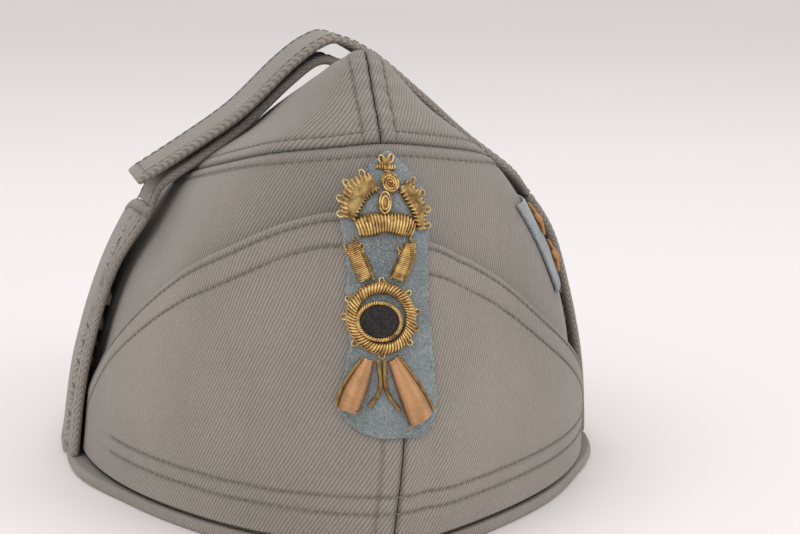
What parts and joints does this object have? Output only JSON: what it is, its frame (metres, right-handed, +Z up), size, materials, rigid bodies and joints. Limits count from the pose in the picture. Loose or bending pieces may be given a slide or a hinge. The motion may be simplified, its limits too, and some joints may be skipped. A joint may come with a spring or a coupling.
{
  "type": "side cap",
  "caption": "Pointed folding side cap of grey-green wool twill, with turned-up front and ear flaps, straps across the top and a bullion badge on the front.",
  "frame": {"origin": "centre of the bounding box at the level of the lower edge", "axes": "+Z up, +Y towards the back of the cap, +X towards the wearer's left"},
  "size_m": [0.1592, 0.2649, 0.1271],
  "materials": {
    "crown_cloth": "matt wool twill, grey-green",
    "flap_cloth": "matt wool twill, grey-green",
    "strap_cloth": "matt wool twill, grey-green",
    "badge_felt": "worn blue-grey felt",
    "bullion_wire": "tarnished gold coiled wire",
    "copper_thread": "copper-gold satin-wound thread",
    "twisted_cord": "dark gold twisted cord",
    "black_velvet": "black velvet pile",
    "orange_thread": "orange-gold wound thread",
    "snap_metal": "dull dark metal"
  },
  "bodies": {
    "root": {"lower_fold": "flap_cloth", "crown_band": "crown_cloth", "crown_panel_left": "crown_cloth", "crown_panel_right": "crown_cloth", "front_flap_left": "flap_cloth", "front_flap_right": "flap_cloth", "ear_flap_left": "flap_cloth", "ear_flap_right": "flap_cloth", "strap_over": "strap_cloth", "strap_under": "strap_cloth", "snap": "snap_metal", "badge_felt": "badge_felt", "badge_crown_base": "bullion_wire", "badge_crown_arch_left": "bullion_wire", "badge_crown_arch_right": "bullion_wire", "badge_crown_strut": "bullion_wire", "badge_crown_orb": "copper_thread", "badge_crown_cross": "bullion_wire", "badge_barrel_left": "bullion_wire", "badge_barrel_right": "bullion_wire", "badge_butt_left": "copper_thread", "badge_butt_right": "copper_thread", "badge_cord_left": "twisted_cord", "badge_cord_right": "twisted_cord", "badge_ring": "bullion_wire", "badge_disc": "black_velvet", "side_patch": "badge_felt", "side_star_upper": "orange_thread", "side_star_lower": "orange_thread"}
  },
  "joints": []
}
